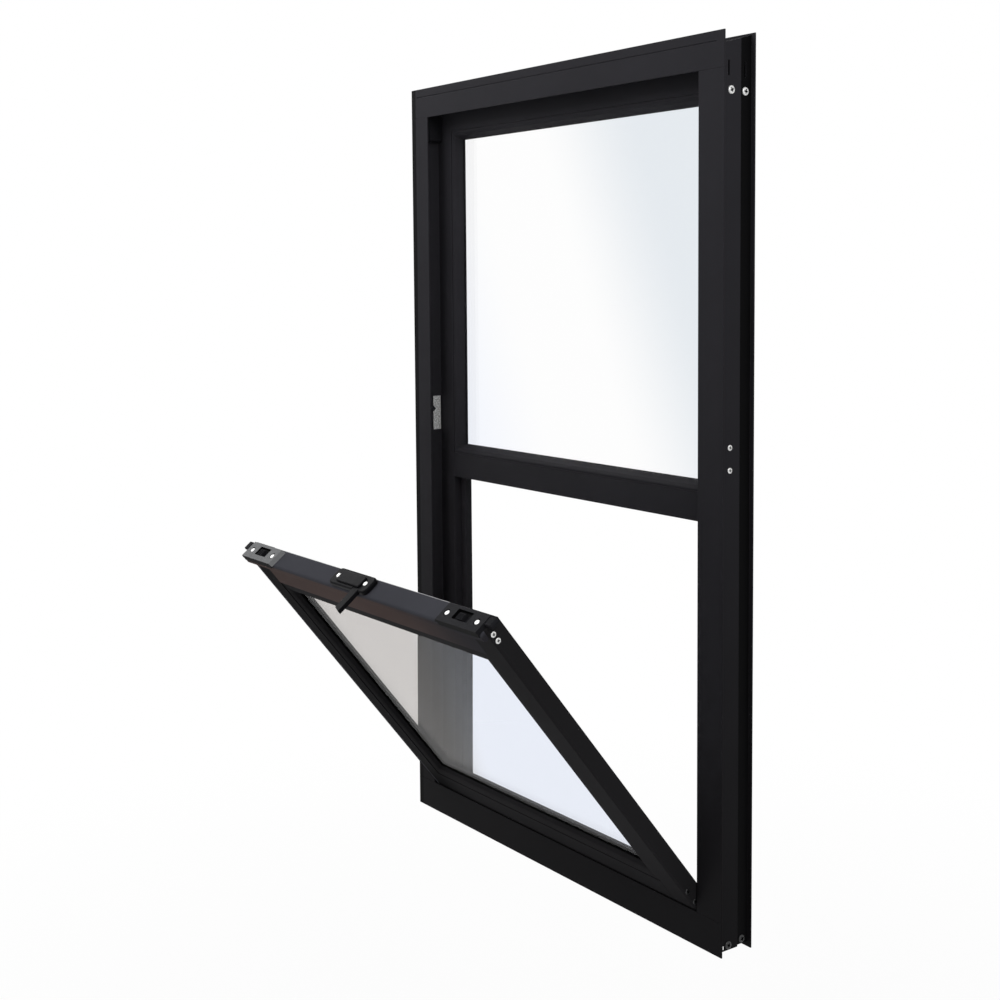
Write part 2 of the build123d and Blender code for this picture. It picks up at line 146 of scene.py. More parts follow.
class ProfileSettings(bpy.types.PropertyGroup):
    """Edges, channels and glazing of the profiles."""
    edge: length("Edge radius", "Rounding on the profiles' edges", 0.0005)
    steps: count("Edge steps", "Faces round each edge", 2)
    bead_edge: length("Bead radius", "Rounding on the beads' long edges", 0.0024)
    bead_steps: count("Bead steps", "Faces round a bead's edge", 5)
    bead_least: length("Bead least", "Shortest edge of a bead that is rounded", 0.05)
    far_edge: length("Far edge radius", "Rounding on the far edge of the sash's top face", 0.0014)
    far_steps: count("Far edge steps", "Faces round that edge", 5)
    channel: ends("Channel", "Least and greatest depth of a jamb's side channel, in metres", 0.003, 0.009)
    channel_end: length("Channel end", "Room side of the side channels", -0.024, least=-1.0)
    seal_width: length("Seal width", "How much of the seal shows beside the glass", 0.0016)
    seal_height: length("Seal height", "How far the seal stands off the glass", 0.0006)
    pane: length("Pane", "Thickness of each pane in the sash", 0.003)
    spacer: length("Spacer", "Width of the bar between the panes", 0.007)


class HardwareSettings(bpy.types.PropertyGroup):
    """Latches, lock and screws."""
    window_depth: length("Window depth", "Depth of the latch's window", 0.0040)
    window_reach: length("Window reach", "How far the window runs past the slider at each end", 0.0030)
    window_side: length("Window side", "Gap in front of the thumb slider", 0.0008)
    window_back: length("Window back", "Gap behind the thumb slider", 0.0045)
    foot: length("Foot", "Height of the thumb slider's foot", 0.0012)
    grip_inset: length("Grip inset", "From the foot's end to the slider's grip", 0.0050)
    slope: length("End slope", "Length of the latch's sloped inner end", 0.0035)
    sink: length("Sink", "Depth of a latch's screw seats", 0.0018)
    sink_flare: length("Sink flare", "How far a screw seat widens towards the top", 0.0012)
    sunk: share("Sunk", "How deep a screw lies in its seat, as a share of the seat", 0.60)
    clear: length("Clear", "How far a cutter reaches past a face", 0.0010)
    rib: length("Rib", "Width of each rib on the thumb slider", 0.0010)
    ribs: count("Ribs", "Ribs on each thumb slider", 5, least=2)
    head: FloatProperty(name="Head", description="Screw heads' width against the plain ones", default=1.25)
    cross: share("Cross", "Reach of the cross in a screw head, as a share of the head", 0.54)
    recess: length("Recess", "Depth of the cross in a screw head", 0.0009)
    edge: length("Edge radius", "Rounding on the hardware's edges, and less on its small parts", 0.0006)


class FinishSettings(bpy.types.PropertyGroup):
    """Colours of the window's finishes, painted light and shade among them, and where they change."""
    # Painted light and shade: the coat is lighter at the frame's top and darker towards the sill, as light
    # falls from above.
    coat: colour("Coat", "Black coat on the frame, at its top", (0.0330, 0.0321, 0.0372))
    painted_low_shade: colour("Low coat", "The same coat below the sill, in less light", (0.0085, 0.0081, 0.0088))
    sash_coat: colour("Sash coat", "Coat on the sash's stiles and bottom rail", (0.0200, 0.0194, 0.0208))
    # Painted reflection: a warm cast on the top rail's room face, strongest at its left.
    painted_warm_reflection: colour("Warm coat", "Room face of the top rail, at its left", (0.0900, 0.0630, 0.0580))
    # Painted light: the rail's top face, lit from above, and the left stile's painted highlight.
    painted_top_light: colour("Top coat", "Top rail's top face and left stile's line", (0.0600, 0.0610, 0.0720))
    # Painted highlight: a glint along the top rail's far edge.
    glint: colour("Glint", "Far top edge of the sash's top rail", (0.4500, 0.4500, 0.4600))
    # Painted shade: the darkest tone, in the channels, the latches' windows and room faces and along the
    # left edges; the coats' clouds also lean towards it at random.
    shade: colour("Shade", "Darkest coat, in channels and along the left edges", (0.0026, 0.0026, 0.0029))
    plastic: colour("Plastic", "Moulded latches and shoes, and the lock's paint", (0.013, 0.013, 0.0150))
    # Painted light: the left latch's top is paler than the right one's.
    painted_latch_light: colour("Pale plastic", "The left latch, paler than the right one", (0.175, 0.178, 0.182))
    seal: colour("Seal", "Rubber beside the glass", (0.0022, 0.0022, 0.0024))
    steel: colour("Steel", "Plated screws and clips", (0.80, 0.80, 0.79))
    # The screws turn darker towards the window's foot.
    dull_steel: colour("Dull steel", "Blackened screws at the window's foot", (0.030, 0.030, 0.031))
    # Painted reflection on the upper pane: a cool tint at each side and a bright band between.
    left_glass_reflection: colour("Left glass", "Tint at the upper pane's lower left", (0.90, 0.925, 0.985))
    band_glass_reflection: colour("Bright glass", "Tint across the pane's brightest band", (0.985, 0.985, 0.985))
    right_glass_reflection: colour("Right glass", "Tint at the upper pane's right side", (0.78, 0.82, 0.86))
    # Painted reflection on the sash's panes: warm at the left, cool at the right.
    warm_glass_reflection: colour("Warm glass", "Tint of each sash pane at its left", (0.76, 0.745, 0.735))
    cool_glass_reflection: colour("Cool glass", "Tint of each sash pane at its right", (0.90, 0.92, 0.965))
    shine: share("Shine", "Mirror strength of the coat", 0.02)
    sash_shine: share("Sash shine", "Mirror strength of the sash's coat", 0.004)
    cloud: length("Cloud", "Size of the coat's slow changes in tone and gloss", 0.12)
    peel: length("Orange peel", "Size of the coat's orange peel", 0.0011)
    grain: length("Grain", "Size of the coat's finest grain", 0.00028)
    # Painted shade: how far below the window the painted darkening would be full.
    drop: length("Drop", "How far below the window the coat would be darkest", 0.2)
    # Painted shade along the frame's left edge.
    strip: ends("Strip", "Where the frame's dark left strip ends, in metres", 0.0100, 0.0120)
    # Painted shade: the sash darkens towards its left side.
    sash_shade_strip: ends("Sash strip", "Where the sash's dark left side ends, in half widths", 1.0, 0.6)
    # Painted highlight: a pale line along the left stile's face.
    line_start: ends("Line start", "Where the left stile's pale line starts, in metres", 0.0050, 0.0058)
    line_stop: ends("Line stop", "Where the left stile's pale line stops, in metres", 0.0072, 0.0080)
    # Where the painted warm reflection fades out and stops.
    warm_reflection_stop: ends("Warm stop", "Where the warm coat fades out, in the window's half widths", 0.15, 0.75)
    warm_reflection_back: ends("Warm back", "Where it stops, from the rail's middle depth, in metres", -0.001, 0.001)
    top_light_start: ends("Top start", "Where the top coat starts, from the top face, in metres", -0.006, -0.001)
    # Where the painted glint starts.
    glint_height: ends("Glint height", "Where the glint starts, from the top face", -0.0018, -0.0008)
    glint_depth: ends("Glint depth", "Where the glint starts, from the outdoor face", -0.0016, -0.0008)
    dull_stop: ends("Dull stop", "Heights between which the screws turn bright, in metres", 0.08, 0.16)
    latch_turn: ends("Latch turn", "Where the latches turn black, in the window's half widths", -0.5, 0.5)
    # Where the painted bright band on the upper pane lies.
    band_lean: share("Band lean", "How far the upper pane's bright band leans", 0.45)
    band_start: ends("Band start", "Where it starts, in widths of the pane", -0.68, -0.22)
    band_stop: ends("Band stop", "Where it stops, in widths of the pane", 0.02, 0.44)
    sash_lean: share("Sash lean", "How far the border between the sash panes' tints leans", 0.88)
    cool_reflection_start: ends("Cool start", "Where the cool tint starts, in widths of the pane", -0.08, 0.16)


class StageSettings(bpy.types.PropertyGroup):
    """Camera, lamps and floor."""
    eye: place("Eye", "Where the camera stands", (1.5810, -1.2650, 0.7985))
    turn: angle("Turn", "Camera's heading from straight out", 54.349)
    pitch: angle("Pitch", "Camera's angle above the horizon", -4.320)
    roll: angle("Roll", "Camera's turn about its own line of sight", -0.447)
    lens: FloatProperty(name="Lens", description="Focal length in millimetres", default=53.28)
    shift: FloatProperty(name="Shift", description="Upward shift as a share of the picture", default=-0.11)
    sensor: FloatProperty(name="Sensor", description="Sensor width in millimetres", default=36.0)
    aim: place("Aim", "Point that every lamp faces", (0, -0.1, 0.5))
    floor_drop: length("Floor drop", "How far the floor lies below the window's foot", 0.45)
    floor_size: length("Floor size", "Width of the floor", 40.0)
    floor_cloud: length("Floor cloud", "Size of the slow changes in the floor's tone", 3.0)
    floor_dark: colour("Floor", "Darker tone of the floor", (0.80, 0.80, 0.80))
    floor_light: colour("Light floor", "Lighter tone of the floor", (0.82, 0.82, 0.82))
    ambient: share("Ambient", "Strength of the light from all round", 0.28)
    shadow: share("Floor shadow", "How much of the floor's own shading shows under the window", 0.07)
    fade: length("Fade", "Distance at which the floor turns plain white", 2.2)


GROUPS = {"sash": SashSettings, "profile": ProfileSettings, "hardware": HardwareSettings,
          "finish": FinishSettings, "stage": StageSettings}


def settings(group):
    """One group of the scene's settings."""
    return getattr(bpy.context.scene, "window_" + group)


def sash_place():
    """From the sash's own upright position to where it leans on its pivots."""
    sash = settings("sash")
    pivot = Matrix.Translation((0, sash.pivot_y, sash.pivot_z))
    heel = Matrix.Translation((0, -sash.heel_depth, -sash.heel_height))
    return pivot @ Matrix.Rotation(sash.tilt, 4, "X") @ heel


class Wire:
    """A node's output. Python's operators on it add Math nodes."""

    def __init__(self, finish, socket):
        self.finish = finish
        self.socket = socket

    def math(self, operation, *values):
        """Add a Math node that works on wires or plain numbers."""
        return self.finish.add("ShaderNodeMath", dict(enumerate(values)), operation=operation)

    def __add__(self, other):
        return self.math("ADD", self, other)

    def __radd__(self, other):
        return self.math("ADD", other, self)

    def __sub__(self, other):
        return self.math("SUBTRACT", self, other)

    def __rsub__(self, other):
        return self.math("SUBTRACT", other, self)

    def __mul__(self, other):
        return self.math("MULTIPLY", self, other)

    def __rmul__(self, other):
        return self.math("MULTIPLY", other, self)

    def larger(self, other):
        """The larger of two values."""
        return self.math("MAXIMUM", self, other)

    def ramp(self, low, high):
        """0 below low, 1 above high and smooth between them."""
        sockets = {"Value": self, "From Min": low, "From Max": high}
        return self.finish.add("ShaderNodeMapRange", sockets, interpolation_type="SMOOTHSTEP")

    def border(self, start, limits, size=1.0):
        """From 0 to 1 between two limits, each given as a multiple of a size from a starting place."""
        low, high = limits
        return self.ramp(start + size * low, start + size * high)


class Finish:
    """The nodes of a material or of the surroundings, and the main shader that they feed."""

    def __init__(self, owner, main, **constants):
        owner.use_nodes = True
        self.owner = owner
        self.tree = owner.node_tree
        self.shader = self.tree.nodes[main]
        for key, value in constants.items():
            self.set(key.replace("_", " "), value)

    def set(self, name, value):
        """Feed one socket of the main shader. Constants go straight onto it."""
        names = {socket.name.lower(): socket for socket in self.shader.inputs}
        self.feed(names[name.lower()], value)

    def feed(self, socket, value):
        """Link a wire to a socket, or set a constant on it."""
        if isinstance(value, Wire):
            self.tree.links.new(value.socket, socket)
        elif hasattr(value, "__len__") and len(value) == 3 and len(socket.default_value) == 4:
            socket.default_value = (*value, 1.0)
        else:
            socket.default_value = value

    def add(self, kind, sockets=None, output=0, **choices):
        """Add any node: its choices first, then the values or links of its sockets."""
        node = self.tree.nodes.new(kind)
        for key, choice in choices.items():
            setattr(node, key, choice)
        for key, value in (sockets or {}).items():
            self.feed(node.inputs[key], value)
        return Wire(self, node.outputs[output])

    def points(self):
        """The surface's own place in metres."""
        return self.add("ShaderNodeTexCoord", output="Object")

    def axes(self):
        """The three numbers of the surface's place."""
        split = self.add("ShaderNodeSeparateXYZ", {"Vector": self.points()})
        return [Wire(self, socket) for socket in split.socket.node.outputs]

    def noise(self, size, detail=2.0):
        """Even noise from 0 to 1 with features of about one size, in metres."""
        sockets = {"Vector": self.points(), "Scale": 1.0 / size, "Detail": detail}
        return self.add("ShaderNodeTexNoise", sockets, output="Fac")

    def blend(self, factor, first, second):
        """From one colour to another."""
        sockets = {0: factor, 6: first, 7: second}
        return self.add("ShaderNodeMix", sockets, output=2, data_type="RGBA")

    def tones(self, factor, rgb, dark, light):
        """From a darker to a lighter tone of one colour."""
        return self.blend(factor, brighter(rgb, dark), brighter(rgb, light))

    def relief(self, height, distance):
        """Raise the surface by a varying height times a distance."""
        sockets = {"Height": height, "Distance": distance, "Strength": 1.0}
        self.set("Normal", self.add("ShaderNodeBump", sockets, output="Normal"))


def surface(name, **constants):
    """A new material with its constant sockets set."""
    return Finish(bpy.data.materials.new(name), "Principled BSDF", **constants)


made_finishes = {}


def finish(name):
    """A material by name, made the first time it is asked for."""
    if name not in made_finishes:
        made_finishes[name] = FINISHES[name]().owner
    return made_finishes[name]


def brighter(rgb, factor):
    """The same colour, brighter or darker."""
    return tuple(min(1.0, part * factor) for part in rgb)


def powder_coat(name, shine, roughness, changes, height):
    """Start a powder coat with fine orange peel and slow changes in gloss. Its clouds are returned too."""
    colours = settings("finish")
    made = surface(name, specular_ior_level=shine)
    cloud = made.noise(colours.cloud, detail=3.0)
    grain = made.noise(colours.grain)
    made.set("Roughness", roughness + cloud * changes + grain * 0.05)
    made.relief(made.noise(colours.peel) * 0.7 + grain * 0.3, height)
    return made, cloud


def coat_finish():
    """Satin black coat on the frame, with painted shade: darker towards the sill and in a band along the
    left edge.
    """
    colours = settings("finish")
    made, cloud = powder_coat("powder_coat", colours.shine, roughness=0.34, changes=0.10, height=0.00006)
    x, _, z = made.axes()
    low, high = cad_box
    # Painted shade: the coat darkens from the frame's top towards the sill.
    shaded = made.blend(z.ramp(low.z - colours.drop, high.z), colours.painted_low_shade, colours.coat)
    # Painted shade: a dark band along the frame's left edge; the clouds darken the coat at random too.
    strip = 1.0 - x.border(low.x, colours.strip)
    made.set("Base Color", made.blend(cloud * 0.3 + strip * 0.7, shaded, colours.shade))
    return made


def rail_coat_finish():
    """The sash's top rail, with painted light: a cool lit top, a painted glint on its far edge, and a
    painted warm reflection on its room side at the left.
    """
    colours = settings("finish")
    made, cloud = powder_coat("rail_powder_coat", colours.sash_shine, roughness=0.42, changes=0.10,
                              height=0.00006)
    put = sash_place()
    up = put.col[2].to_3d()
    outdoors = put.col[1].to_3d()
    low, high = own_box("sash_top_rail", put.inverted())
    top = high.z + put.translation.dot(up)
    far = high.y + put.translation.dot(outdoors)
    middle = far - (high.y - low.y) / 2
    x, y, z = made.axes()
    height = y * up.y + z * up.z
    depth = y * outdoors.y + z * outdoors.z
    # Painted reflection: the warm cast fades towards the right and stays on the rail's room-side half.
    right = x.border(0.0, colours.warm_reflection_stop, cad_box[1].x)
    plain = right.larger(depth.border(middle, colours.warm_reflection_back))
    room_side = made.blend(plain, colours.painted_warm_reflection, colours.coat)
    # Painted light: the top face turns to a lighter, cool tone, as lit from above.
    faces = made.blend(height.border(top, colours.top_light_start), room_side, colours.painted_top_light)
    # Painted highlight: a bright glint along the rail's far top edge.
    edge = height.border(top, colours.glint_height) * depth.border(far, colours.glint_depth)
    made.set("Base Color", made.blend(edge, made.blend(cloud * 0.3, faces, colours.shade), colours.glint))
    return made


def sash_coat_finish():
    """The sash's stiles and bottom rail, with painted shade at the left and a painted highlight as a pale
    line on the left stile.
    """
    colours = settings("finish")
    made, cloud = powder_coat("sash_powder_coat", colours.sash_shine, roughness=0.44, changes=0.12,
                              height=0.00003)
    x, _, _ = made.axes()
    edge = own_box("sash_left_stile", sash_place().inverted())[0].x
    # Painted shade: the sash's coat darkens towards its left side.
    strip = 1.0 - x.border(0.0, colours.sash_shade_strip, edge)
    # Painted highlight: a pale line along the left stile, in the painted top light's colour.
    line = x.border(edge, colours.line_start) * (1.0 - x.border(edge, colours.line_stop))
    plain = made.blend(cloud * 0.2 + strip * 0.8, colours.sash_coat, colours.shade)
    made.set("Base Color", made.blend(line, plain, colours.painted_top_light))
    return made


def clouded(name, rgb, shine, dark, light, cloud, roughness, changes, grain, height):
    """A finish whose tone and gloss change in slow clouds, over a fine grain in relief."""
    made = surface(name, specular_ior_level=shine)
    slow = made.noise(cloud)
    made.set("Base Color", made.tones(slow, rgb, dark, light))
    made.set("Roughness", roughness + slow * changes)
    made.relief(made.noise(grain), height)
    return made


def painted_shade_finish():
    """Painted shade: a matt, near-black coat put inside channels and recesses, where shade falls."""
    return clouded("painted_shade_coat", settings("finish").shade, shine=0.04, dark=0.7, light=1.4, cloud=0.05,
                   roughness=0.62, changes=0.15, grain=0.0009, height=0.00005)


def lock_finish():
    """Satin black paint on the lock's castings."""
    return clouded("lock_paint", settings("finish").plastic, shine=0.02, dark=0.35, light=0.65,
                   cloud=0.015, roughness=0.34, changes=0.12, grain=0.0008, height=0.00005)


def seal_finish():
    """Black rubber."""
    return clouded("seal_rubber", settings("finish").seal, shine=0.02, dark=0.7, light=1.5, cloud=0.006,
                   roughness=0.6, changes=0.2, grain=0.0004, height=0.00001)


def plastic_finish():
    """Moulded plastic with a fine spark-eroded texture."""
    made = surface("moulded_plastic", specular_ior_level=0.02)
    texture = made.noise(0.00045, detail=4.0)
    made.set("Base Color", made.tones(made.noise(0.02), settings("finish").plastic, dark=0.8, light=1.3))
    made.set("Roughness", 0.5 + texture * 0.2)
    made.relief(texture, distance=0.00012)
    return made


def latch_finish():
    """The latches' textured plastic, with painted light: pale at the window's left and black at its right.
    """
    colours = settings("finish")
    made = surface("latch_plastic", specular_ior_level=0.03)
    x, _, _ = made.axes()
    texture = made.noise(0.0006, detail=4.0)
    black = made.tones(texture, colours.plastic, dark=0.7, light=1.5)
    pale = made.tones(texture, colours.painted_latch_light, dark=0.75, light=1.25)
    # Painted light: the latch tops turn pale towards the window's left.
    made.set("Base Color", made.blend(x.border(0.0, colours.latch_turn, cad_box[1].x), pale, black))
    made.set("Roughness", 0.44 + texture * 0.2)
    made.relief(texture, distance=0.00015)
    return made


def steel_finish():
    """Bright zinc plate with faint spangle and fine grain, darker towards the window's foot."""
    colours = settings("finish")
    made = surface("plated_steel", metallic=0.45)
    _, _, z = made.axes()
    spangle = made.noise(0.0022, detail=3.0)
    bright = made.tones(spangle, colours.steel, dark=0.8, light=1.2)
    # The plating turns darker towards the window's foot.
    made.set("Base Color", made.blend(z.border(0.0, colours.dull_stop), colours.dull_steel, bright))
    made.set("Roughness", 0.2 + spangle * 0.14)
    made.relief(made.noise(0.0003), distance=0.00003)
    return made


def glass(name, ior):
    """Start a clear glass whose polish varies very slightly."""
    made = surface(name, transmission_weight=1.0, ior=ior)
    made.set("Roughness", 0.002 + made.noise(0.2) * 0.004)
    return made


def upper_glass_finish():
    """Clear glass with a painted reflection: one soft bright band leaning across a cool tint."""
    colours = settings("finish")
    made = glass("upper_glass", ior=1.3)
    x, _, z = made.axes()
    low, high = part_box("upper_glass")
    width = high.x - low.x
    middle = (low.z + high.z) / 2 * colours.band_lean
    across = x + z * colours.band_lean
    # Painted reflection: a bright band leaning across the pane.
    start = across.border(middle, colours.band_start, width)
    stop = across.border(middle, colours.band_stop, width)
    left_half = made.blend(start, colours.left_glass_reflection, colours.band_glass_reflection)
    made.set("Base Color", made.blend(stop, left_half, colours.right_glass_reflection))
    return made


def sash_glass_finish():
    """The sash's panes, with a painted reflection: warm and darker at the upper left, cool and clear at
    the lower right.
    """
    colours = settings("finish")
    made = glass("sash_glass", ior=1.045)
    x, _, z = made.axes()
    low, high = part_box("sash_glass")
    # Painted reflection: the panes turn from warm at the upper left to cool at the lower right.
    cool = (x - z * colours.sash_lean).border(low.x, colours.cool_reflection_start, high.x - low.x)
    made.set("Base Color", made.blend(cool, colours.warm_glass_reflection, colours.cool_glass_reflection))
    return made


FINISHES = {"coat": coat_finish, "rail_coat": rail_coat_finish, "sash_coat": sash_coat_finish,
            "channel": painted_shade_finish, "plastic": plastic_finish, "latch": latch_finish,
            "lock": lock_finish, "seal": seal_finish, "steel": steel_finish,
            "upper_glass": upper_glass_finish, "sash_glass": sash_glass_finish}


def new_piece(mesh, name, finish_names, stands_for=(), where=None):
    """Close a bmesh into a named piece that rides on the window and stands for CAD nodes."""
    if not mesh.faces:
        raise RuntimeError(name + " has no faces")
    if where is not None:
        bmesh.ops.transform(mesh, matrix=where, verts=mesh.verts)
        bmesh.ops.recalc_face_normals(mesh, faces=mesh.faces)
    data = bpy.data.meshes.new(name)
    mesh.to_mesh(data)
    mesh.free()
    for finish_name in finish_names:
        data.materials.append(finish(finish_name))
    data.shade_smooth()
    data.set_sharp_from_angle(angle=CREASE)
    piece = bpy.data.objects.new(name, data)
    bpy.context.scene.collection.objects.link(piece)
    weighted = piece.modifiers.new("flat_faces", "WEIGHTED_NORMAL")
    weighted.keep_sharp = True
    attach(piece, "root")
    if stands_for:
        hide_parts(*stands_for)


def merged_copy(node):
    """A copy of a CAD node's mesh with its loose triangles merged into flat faces."""
    mesh = bmesh.new()
    mesh.from_mesh(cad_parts[node].data)
    bmesh.ops.remove_doubles(mesh, verts=mesh.verts, dist=MERGE)
    bmesh.ops.dissolve_limit(mesh, angle_limit=FLAT, verts=mesh.verts, edges=mesh.edges)
    for face in mesh.faces:
        face.material_index = 0
        face.smooth = False
    return mesh


def round_edges(mesh, radius, steps, wanted=None):
    """Round every sharp edge, or those of them that are wanted."""
    sharp = [edge for edge in mesh.edges
             if len(edge.link_faces) == 2 and edge.calc_face_angle(0.0) > SHARP
             and (wanted is None or wanted(edge))]
    bmesh.ops.bevel(mesh, geom=sharp, offset=radius, offset_type="OFFSET", segments=steps, profile=0.5,
                    affect="EDGES", material=-1, clamp_overlap=True)


def box(mesh, low, high):
    """A block between two corners, and its vertices."""
    low = Vector(low)
    high = Vector(high)
    size = Matrix.Diagonal((*(high - low), 1.0))
    made = bmesh.ops.create_cube(mesh, size=1.0, matrix=Matrix.Translation((low + high) / 2) @ size)
    return made["verts"]


def of_kind(geometry, kind):
    """The vertices or edges in what an operator made."""
    return [item for item in geometry if isinstance(item, kind)]


def corners(points):
    """Lowest and highest corner of a list of points."""
    return Vector(map(min, zip(*points))), Vector(map(max, zip(*points)))


def own_box(node, back):
    """Lowest and highest corner of a CAD node after it is moved back to another position."""
    return corners([back @ vertex.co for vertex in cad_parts[node].data.vertices])


def islands(node, back):
    """Lowest and highest corner of each separate solid in a CAD node."""
    mesh = merged_copy(node)
    bmesh.ops.transform(mesh, matrix=back, verts=mesh.verts)
    left = set(mesh.verts)
    boxes = []
    while left:
        group = {left.pop()}
        front = list(group)
        while front:
            near = {edge.other_vert(vertex) for vertex in front for edge in vertex.link_edges}
            front = list(near - group)
            group |= near
        left -= group
        boxes.append(corners([vertex.co.copy() for vertex in group]))
    mesh.free()
    return sorted(boxes, key=lambda pair: tuple(pair[0]))


def ring(mesh, low, high, width):
    """A flat rectangular ring in the wall's plane, given depth from low to high."""
    centre = (Vector(low) + Vector(high)) / 2
    size = Matrix.Diagonal((high[0] - low[0], high[2] - low[2], 1.0, 1.0))
    stand = Matrix.Rotation(math.pi / 2, 4, "X")
    sheet = bmesh.ops.create_grid(mesh, x_segments=1, y_segments=1, size=0.5,
                                  matrix=Matrix.Translation((centre.x, low[1], centre.z)) @ stand @ size)
    face = sheet["verts"][0].link_faces[0]
    sides = bmesh.ops.inset_individual(mesh, faces=[face], thickness=width)["faces"]
    bmesh.ops.delete(mesh, geom=[face], context="FACES_ONLY")
    solid = bmesh.ops.extrude_face_region(mesh, geom=sides, use_keep_orig=True)["geom"]
    bmesh.ops.translate(mesh, verts=of_kind(solid, bmesh.types.BMVert), vec=(0, high[1] - low[1], 0))
    bmesh.ops.recalc_face_normals(mesh, faces=mesh.faces)


def screw_head(radius, height):
    """A pan head with a cross recess, its seat at the origin and its top along Z."""
    sizes = settings("hardware")
    mesh = bmesh.new()
    last, level = HEAD_RINGS[0]
    top = bmesh.ops.create_circle(mesh, segments=HEAD_SIDES, radius=radius * last,
                                  matrix=Matrix.Translation((0, 0, height)))["verts"]
    rim = list({edge for vertex in top for edge in vertex.link_edges})
    for reach, rise in HEAD_RINGS[1:]:
        made = bmesh.ops.extrude_edge_only(mesh, edges=rim)["geom"]
        verts = of_kind(made, bmesh.types.BMVert)
        rim = of_kind(made, bmesh.types.BMEdge)
        bmesh.ops.scale(mesh, verts=verts, vec=(reach / last, reach / last, 1.0))
        bmesh.ops.translate(mesh, verts=verts, vec=(0, 0, height * (rise - level)))
        last = reach
        level = rise
    bmesh.ops.holes_fill(mesh, edges=rim, sides=0)
    reach = radius * sizes.cross
    cross = bmesh.ops.create_grid(mesh, x_segments=3, y_segments=3, size=reach,
                                  matrix=Matrix.Translation((0, 0, height)))["verts"]
    cells = {face for vertex in cross for face in vertex.link_faces}
    unused = [face for face in cells if min(map(abs, face.calc_center_median().xy)) > reach / 2]
    bmesh.ops.delete(mesh, geom=unused, context="FACES")
    floor = [face for face in cells if face.is_valid]
    sunk = bmesh.ops.extrude_face_region(mesh, geom=floor)["geom"]
    depth = min(sizes.recess, height * DEEPEST)
    bmesh.ops.translate(mesh, verts=of_kind(sunk, bmesh.types.BMVert), vec=(0, 0, -depth))
    open_edges = [edge for edge in mesh.edges if edge.is_boundary]
    bmesh.ops.triangle_fill(mesh, edges=open_edges, use_beauty=True)
    bmesh.ops.recalc_face_normals(mesh, faces=mesh.faces)
    # Painted shade: the cross recess takes the black seal rubber.
    for face in mesh.faces:
        low, high = corners([vertex.co for vertex in face.verts])
        if max(high.x, high.y, -low.x, -low.y) < reach + NEAR and low.z < height - NEAR:
            face.material_index = 1
    return mesh


def add_copy(mesh, part, where):
    """Add a transformed copy of one bmesh to another."""
    data = bpy.data.meshes.new("copy")
    part.to_mesh(data)
    data.transform(where)
    mesh.from_mesh(data)
    bpy.data.meshes.remove(data)


def cut(mesh, tool):
    """Cut one bmesh out of another, and free both."""
    objects = []
    for part in (mesh, tool):
        bmesh.ops.recalc_face_normals(part, faces=part.faces)
        data = bpy.data.meshes.new("cutting")
        part.to_mesh(data)
        part.free()
        objects.append(bpy.data.objects.new("cutting", data))
        bpy.context.scene.collection.objects.link(objects[-1])
    body, cutter = objects
    step = body.modifiers.new("cut", "BOOLEAN")
    step.operation = "DIFFERENCE"
    step.solver = "EXACT"
    step.object = cutter
    bpy.context.view_layer.update()
    shaped = body.evaluated_get(bpy.context.evaluated_depsgraph_get())
    result = bmesh.new()
    result.from_mesh(shaped.to_mesh())
    shaped.to_mesh_clear()
    for item in objects:
        data = item.data
        bpy.data.objects.remove(item)
        bpy.data.meshes.remove(data)
    bmesh.ops.remove_doubles(result, verts=result.verts, dist=MERGE)
    bmesh.ops.dissolve_limit(result, angle_limit=FLAT, verts=result.verts, edges=result.edges)
    return result


def countersink(mesh, seat, radius):
    """A cutter for a conical screw seat, with its wide end at the seat's height."""
    sizes = settings("hardware")
    depth = sizes.sink + sizes.clear
    wide = radius + sizes.sink_flare * depth / sizes.sink
    middle = Vector(seat) + Vector((0, 0, sizes.clear - depth / 2))
    bmesh.ops.create_cone(mesh, cap_ends=True, segments=HEAD_SIDES, radius1=radius, radius2=wide,
                          depth=depth, matrix=Matrix.Translation(middle))


def screws(node, name, back, axis, sink=0.0):
    """Screw heads for a CAD node's plain ones, along X outwards, or Z up and sunk at the latches."""
    mesh = bmesh.new()
    wider = settings("hardware").head
    forward = back.inverted()
    latch = own_box("right_latch_housing", back)[0].x
    for number, (low, high) in enumerate(islands(node, back)):
        middle = (low + high) / 2
        size = high - low
        if axis == "X":
            outwards = 1 if middle.x > 0 else -1
            radius, height = size.y / 2 * wider, size.x
            seat = Vector((low.x if outwards > 0 else high.x, middle.y, middle.z))
            turn = Matrix.Rotation(outwards * math.pi / 2, 4, "Y")
        else:
            radius, height = size.x / 2 * wider, size.z
            seat = Vector((middle.x, middle.y, low.z - (sink if abs(middle.x) > latch else 0.0)))
            turn = Matrix.Identity(4)
        head = screw_head(radius, height)
        spin = Matrix.Rotation(number * SPIN, 4, "Z")
        add_copy(mesh, head, forward @ Matrix.Translation(seat) @ turn @ spin)
        head.free()
    # The heads are plated steel, and their cross recesses take the black rubber as painted shade.
    new_piece(mesh, name, ["steel", "seal"], [node])


